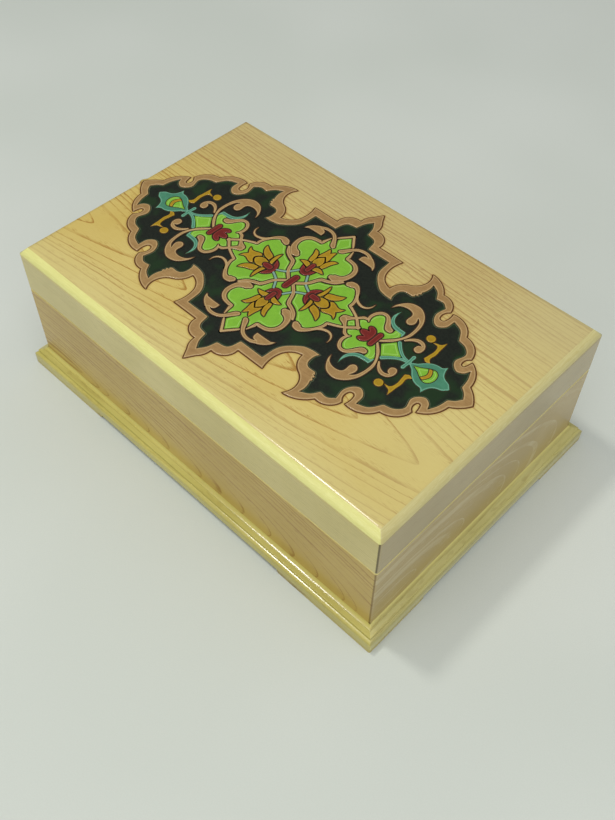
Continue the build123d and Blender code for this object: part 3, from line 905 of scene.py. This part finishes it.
# Tan ribbons
crossing_band = band([
    (0, -1.6, 1.9), (1.9, 0.2, 1.9), (4.3, 2.3, 1.9), (7.2, 5.2, 2.0), (8.8, 8.2, 2.1), (10.0, 11.2, 2.2),
    (11.4, 13.3, 2.3, "sharp"), (15.4, 14.9, 2.3), (18.7, 17.0, 2.2), (21.2, 20.2, 1.6),
])
lobe_band = band([
    (13.6, 18.6, 3.4), (14.9, 18.9, 5.2), (17.4, 20.3, 4.4), (19.6, 22.6, 3.5), (20.8, 26.2, 3.0),
    (20.8, 29.8, 2.9), (19.4, 32.9, 2.7), (16.5, 35.2, 2.5), (12.8, 36.0, 2.3), (10.2, 36.2, 2.4, "sharp"),
    (9.6, 38.9, 1.7), (8.6, 42.8, 0.8),
])
petal_band = band([
    (24.8, 21.4, 3.6), (26.0, 22.2, 4.6), (28.6, 22.9, 3.6), (31.2, 21.5, 2.5), (33.8, 18.4, 2.0),
    (35.8, 14.8, 1.9), (36.7, 11.6, 1.8), (36.7, 9.3, 1.9, "sharp"), (40.0, 7.8, 1.6), (43.4, 6.1, 1.6),
    (46.0, 4.4, 1.7), (48.5, 2.1, 1.8), (51.2, -0.4, 1.8),
])
claw = band([
    (34.0, 18.4, 1.5), (36.2, 15.5, 1.7), (38.9, 13.9, 1.7), (42.0, 13.4, 1.5), (44.6, 14.6, 1.2),
    (46.0, 17.0, 0.8), (46.2, 19.6, 0.25),
])
tip_band = band([
    (40.6, 0.5, 4.2), (41.6, 1.2, 3.8), (43.4, 2.7, 2.3), (45.2, 4.4, 1.8), (46.8, 6.3, 1.8),
    (48.2, 7.9, 1.9), (50.2, 8.5, 1.7),
])
cartouche_band = band([
    (51.9, 7.4, 0.7), (50.6, 9.2, 1.7), (50.2, 12.0, 1.9), (51.2, 15.2, 2.0), (53.6, 17.6, 2.1),
    (56.8, 17.6, 2.2), (59.5, 15.1, 2.6), (61.6, 12.1, 3.2), (63.2, 10.7, 3.9), (64.4, 10.5, 3.5),
])
valley_band = band([(0, 53.2, 1.7), (2.4, 50.1, 1.6), (4.8, 47.1, 1.5), (6.0, 45.5, 1.1)])
foot_scroll = band([
    (3.0, 38.0, 2.8), (3.9, 38.9, 3.2), (5.4, 41.3, 2.7), (7.4, 44.2, 2.3), (9.8, 46.2, 2.2),
    (13.0, 47.2, 2.2), (16.4, 47.0, 2.2), (19.4, 45.4, 2.6),
])
foot_leaf = shape([
    (14.8, 40.4, "sharp"), (20.0, 40.4), (24.6, 40.2, "sharp"), (27.0, 38.6, "sharp"), (25.9, 41.6),
    (23.6, 44.3), (20.2, 46.7, "sharp"), (18.5, 45.2, "sharp"), (16.2, 44.9), (15.0, 43.4),
])
crescent = shape([
    (53.7, 24.0, "sharp"), (54.3, 27.6), (56.5, 31.4), (59.3, 34.1), (63.1, 35.3), (66.6, 35.0),
    (70.4, 32.6), (73.1, 29.2), (74.9, 24.8), (75.6, 19.2), (75.5, 15.3), (74.6, 12.0), (73.1, 8.9),
    (70.9, 5.3), (68.1, 2.4), (63.9, -1.2, "sharp"), (62.9, 0.2, "sharp"), (65.4, 2.0), (68.1, 4.9),
    (70.9, 8.3), (72.5, 11.0), (73.5, 14.4), (73.7, 18.1), (73.3, 22.0), (72.0, 25.9), (69.7, 28.0, "sharp"),
    (70.9, 24.8), (70.6, 22.4), (68.7, 20.8), (66.8, 21.2), (65.7, 23.1), (65.8, 27.0), (64.8, 28.9),
    (62.0, 29.8), (58.7, 29.4), (55.9, 27.8),
])
small_scroll = shape([
    (74.2, 10.3, "sharp"), (76.3, 13.6), (79.2, 16.1), (82.0, 16.6), (84.8, 15.6), (86.5, 13.1),
    (86.7, 10.3), (85.7, 8.4), (84.1, 7.9), (82.3, 8.9), (81.9, 10.6), (82.6, 12.6), (84.1, 13.3, "sharp"),
    (82.0, 14.2), (79.8, 13.8), (77.6, 12.5), (75.2, 9.9, "sharp"),
])
ribbons = (crossing_band, lobe_band, petal_band, claw, tip_band, cartouche_band, valley_band)
scrolls = (foot_scroll, foot_leaf, crescent, small_scroll)
raised("medallion_ribbons", four_ways(*ribbons), ribbon_foot, ribbon_height, tan_paint, "border_tan")
raised("medallion_scrolls", four_ways(*scrolls), ribbon_foot, ribbon_height, tan_paint, "border_tan")
ribbon_lines = line_round(four_ways(*ribbons, *scrolls), field_height + outline_lift, 0.25, 0.62)
put("medallion_ribbon_lines", *ribbon_lines, line_paint, "border_tan")

# Ochre stems with a berry, near the palmettes
berry_stem = shape([
    (95.0, 7.4, "sharp"), (92.6, 6.4), (90.2, 7.8, "sharp"), (90.7, 11.0), (91.2, 14.8), (90.7, 18.2),
    (89.6, 19.6, "sharp"), (86.4, 19.8, "sharp"), (88.6, 20.7), (90.9, 21.6), (92.6, 24.6, "sharp"),
    (92.9, 21.0), (93.0, 18.0), (93.4, 13.7), (92.9, 10.3), (93.4, 8.6),
])
berry_u, berry_v, berry_radius = 84.1, 21.3, 2.6
berry = np.array([
    (berry_u + berry_radius * math.cos(a), berry_v + berry_radius * math.sin(a))
    for a in np.linspace(0, 2 * math.pi, 28)[:-1]])
raised("medallion_berry_stems", four_ways(berry_stem, berry), 0.0, flower_height, ochre_paint, "border_tan",
       line=line_paint)

# Flowers: red calyx and buds, ochre petals
long_petals_low = shape([
    (17.8, 2.4, "sharp"), (18.4, 5.0), (18.8, 8.2), (19.2, 13.1, "sharp"), (20.5, 10.0), (20.7, 6.0),
    (20.0, 2.9, "sharp")])
long_petals_high = shape([
    (21.8, 4.1, "sharp"), (24.2, 4.4), (26.6, 5.3), (29.0, 7.4), (30.3, 9.6), (30.8, 12.4, "sharp"),
    (29.0, 11.2), (26.4, 9.8), (23.6, 8.7), (21.8, 7.4)])
long_body = half_shape([(18.6, 0), (19.6, 2.0), (22.0, 3.1), (24.6, 3.4), (27.2, 2.2), (28.5, 0)], 1)
long_tail = half_shape([
    (29.6, 0), (28.9, 1.8), (26.8, 3.8, "sharp"), (28.2, 4.7), (30.2, 4.4), (32.8, 3.4), (34.8, 3.4),
    (36.9, 4.8, "sharp"), (36.0, 2.4), (34.2, 0, "sharp")], 1)
short_petals_low = shape([
    (1.7, 15.1, "sharp"), (4.0, 15.6), (6.4, 16.3), (8.9, 16.7, "sharp"), (7.0, 18.2), (4.9, 18.9),
    (3.0, 18.5), (1.8, 17.0)])
short_petals_high = shape([
    (3.2, 20.0, "sharp"), (5.2, 19.7, "sharp"), (6.0, 22.0), (6.8, 25.4), (8.7, 29.7, "sharp"), (6.0, 28.9),
    (4.0, 26.0), (3.2, 23.0)])
short_body = half_shape([(0, 19.0), (2.0, 19.7), (2.9, 22.0), (2.2, 25.0), (0, 27.8, "sharp")], 0)
short_tail = half_shape([
    (0, 28.9, "sharp"), (3.3, 25.4, "sharp"), (3.4, 28.0), (2.8, 31.2), (2.4, 35.4, "sharp"), (1.2, 34.2),
    (0, 32.4, "sharp")], 0)
petals = four_ways(long_petals_low, long_petals_high, short_petals_low, short_petals_high)
petals += both_ends(long_body, long_tail) + both_sides(short_body, short_tail)
raised("medallion_flower_petals", petals, field_height, flower_height, ochre_paint, "border_tan",
       line=line_paint, line_width=0.75)

long_calyx = half_shape([
    (12.8, 0), (13.1, 2.3), (14.6, 4.9), (16.5, 6.5), (18.3, 7.3, "sharp"), (17.3, 5.2), (16.6, 3.2),
    (16.4, 0)], 1)
long_bar = half_shape([(15.2, 0), (15.5, 1.5), (17.4, 1.9), (19.8, 1.8), (21.3, 1.2), (22.0, 0)], 1)
short_calyx = half_shape([
    (0, 8.8), (2.2, 9.5), (3.6, 11.4), (4.2, 13.2), (4.8, 15.2, "sharp"), (3.0, 14.5), (1.9, 13.6),
    (0, 13.2)], 0)
short_bar = half_shape([(0, 11.8), (1.2, 12.3), (1.4, 14.6), (1.4, 17.4), (1.1, 19.2), (0, 19.9)], 0)
bud = half_shape([
    (52.8, 0), (53.5, 1.1), (55.0, 1.9), (57.2, 2.3, "sharp"), (55.6, 3.6), (54.8, 5.0), (55.7, 6.0),
    (57.4, 6.1), (59.2, 5.2), (60.6, 3.6), (61.0, 1.8), (61.1, 0)], 1)
bud_bar = half_shape([
    (61.7, 0), (61.7, 3.0), (61.9, 4.9), (63.2, 5.8), (64.6, 4.9), (64.8, 3.0), (64.8, 0)], 1)
middle_bar = half_shape([(0, 6.3), (1.5, 5.4), (1.8, 3.0), (1.8, 0), (1.8, -3.0), (1.5, -5.4), (0, -6.3)], 0)
raised("medallion_calyxes", both_ends(long_calyx, bud) + both_sides(short_calyx), field_height,
       calyx_height, red_paint, "border_tan", line=line_paint, line_width=0.7)
raised("medallion_red_bars", both_ends(long_bar, bud_bar) + both_sides(short_bar) + [middle_bar],
       bar_foot, bar_height, red_paint, "border_tan", line=line_paint, line_width=0.6)


# Hinge screws with slotted heads


head_radius, shank_radius, point_radius = 1.8 * mm, 0.9 * mm, 0.15 * mm
head_depth, shank_depth, screw_depth = 1.0 * mm, 4.6 * mm, 6.5 * mm
slot_half, slot_depth = 0.22 * mm, 0.45 * mm
screw_sides = 28
screws_apart = 5  # millimetres: wider than a head, less than from screw to screw


def screws(node, name):
    """Turned screws in the places of a CAD node's, each with its slot along the box."""
    low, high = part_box(node)
    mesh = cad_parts[node].data
    downward = low.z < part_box("body_back_wall")[1].z - mm
    face, into = (high.z, -1) if downward else (low.z, 1)
    rim = {round(v.co.x / mm) for v in mesh.vertices if abs(v.co.z - face) < 1e-6}
    middles, group = [], []
    for x in sorted(rim) + [1e9]:
        if group and x - group[-1] > screws_apart:
            middles.append((group[0] + group[-1]) / 2 * mm)
            group = []
        group.append(x)
    row = (low.y + high.y) / 2
    start = math.asin(slot_half / head_radius)
    arc = np.linspace(start, math.pi - start, screw_sides // 2)
    section = ((shank_radius, head_depth), (shank_radius, shank_depth), (point_radius, screw_depth))
    vertices, faces = [], []
    for middle in middles:
        first = len(vertices)
        upper, lower = (
            [(middle + side * math.cos(a), row + side * math.sin(a), face) for a in arc]
            for side in (head_radius, -head_radius))
        rings = [upper + lower]
        for radius, depth in section:
            share = radius / head_radius
            rings.append([
                (middle + (p[0] - middle) * share, row + (p[1] - row) * share, face + into * depth)
                for p in rings[0]])
        count = len(rings[0])
        for ring in rings:
            vertices += ring
        half = count // 2
        faces.append(tuple(range(first, first + half)))
        faces.append(tuple(range(first + half, first + count)))
        for level in range(len(rings) - 1):
            a, b = first + level * count, first + (level + 1) * count
            faces += [(a + i, b + i, b + j, a + j) for i, j in loop(0, count)]
        faces.append(tuple(range(first + 3 * count, first + 4 * count)))
        floor = len(vertices)
        ends = (upper[0], upper[-1], lower[0], lower[-1])
        vertices += [(p[0], p[1], face + into * slot_depth) for p in ends]
        faces += [
            (floor, floor + 1, floor + 2, floor + 3),
            (first, first + half - 1, floor + 1, floor),
            (first + half, first + count - 1, floor + 3, floor + 2),
        ]
    made = new_mesh(name, vertices, faces, brass_metal)
    made.validate()
    obj = add(name, made)
    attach(obj, "box" if downward else "lid")
    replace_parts(obj, node)


screws("hinge_body_screws", "hinge_screws_in_body")
screws("hinge_lid_screws", "hinge_screws_in_lid")


# Floor, light and camera

room_light, mirrored_room_light = 0.44, 0.10


def studio():
    f = Finish("floor_board", roughness=0.85)
    fibre = f.noise(f.place, 1400.0, 2.0)
    cloud = f.noise(f.place, 3.0, 2.0)
    base = f.mix(f.between(cloud, 0.35, 0.65), srgb(206, 210, 202), srgb(198, 203, 194))
    f.colour(f.mix(f.between(fibre, 0.3, 0.7, 0.0, 0.2), base, srgb(188, 193, 184)))
    f.surface(fibre, 0.15, 0.0003)
    size = 3.0
    corners = [(-size, -size, 0), (size, -size, 0), (size, size, 0), (-size, size, 0)]
    floor = add("floor", new_mesh("floor", corners, [(0, 1, 2, 3)], f.material))

    # The room is dim where the lacquer mirrors it
    world = bpy.data.worlds.new("studio")
    bpy.context.scene.world = world
    world.use_nodes = True
    tree = world.node_tree
    back = tree.nodes["Background"]
    back.inputs["Color"].default_value = (0.95, 0.98, 1.0, 1)
    mirrored = tree.nodes.new("ShaderNodeLightPath").outputs["Is Glossy Ray"]
    strength = tree.nodes.new("ShaderNodeMapRange")
    tree.links.new(mirrored, strength.inputs["Value"])
    strength.inputs["To Min"].default_value = room_light
    strength.inputs["To Max"].default_value = mirrored_room_light
    tree.links.new(strength.outputs[0], back.inputs["Strength"])


light_aim = (0, 0, 0.05)


def area_light(name, place, size, power, colour=(1, 1, 1)):
    data = bpy.data.lights.new(name, "AREA")
    data.shape = "RECTANGLE"
    data.size, data.size_y = size
    data.energy = power
    data.color = colour
    lamp = add(name, data)
    lamp.location = place
    lamp.rotation_euler = (Vector(light_aim) - Vector(place)).to_track_quat("-Z", "Y").to_euler()


studio()
area_light("lamp", (-0.42, -0.16, 1.4), (0.13, 0.13), 4.8, (1.0, 0.99, 0.94))
area_light("ceiling", (0.25, -0.42, 1.5), (1.4, 1.2), 8.8)
area_light("front_fill", (-0.1, -1.5, 0.8), (1.6, 1.0), 5.2)
area_light("side_fill", (1.5, -0.1, 0.8), (1.4, 1.0), 4.6)

camera_place = Vector((0.2606, -0.2693, 0.4580))
camera_look = Vector((-0.42779, 0.45370, -0.78176))
camera_roll = 0.83  # degrees
focal_in_pixels, picture_height, sensor = 920.36, 820, 36.0

camera = add("camera", bpy.data.cameras.new("camera"))
camera.data.sensor_width = sensor
camera.data.lens = focal_in_pixels / picture_height * sensor
camera.data.clip_start = 0.01
roll = Matrix.Rotation(math.radians(camera_roll), 3, "Z")
turn = camera_look.to_track_quat("-Z", "Y").to_matrix() @ roll
camera.matrix_world = Matrix.Translation(camera_place) @ turn.to_4x4()
bpy.context.scene.camera = camera

bpy.context.scene.view_settings.view_transform = "Standard"
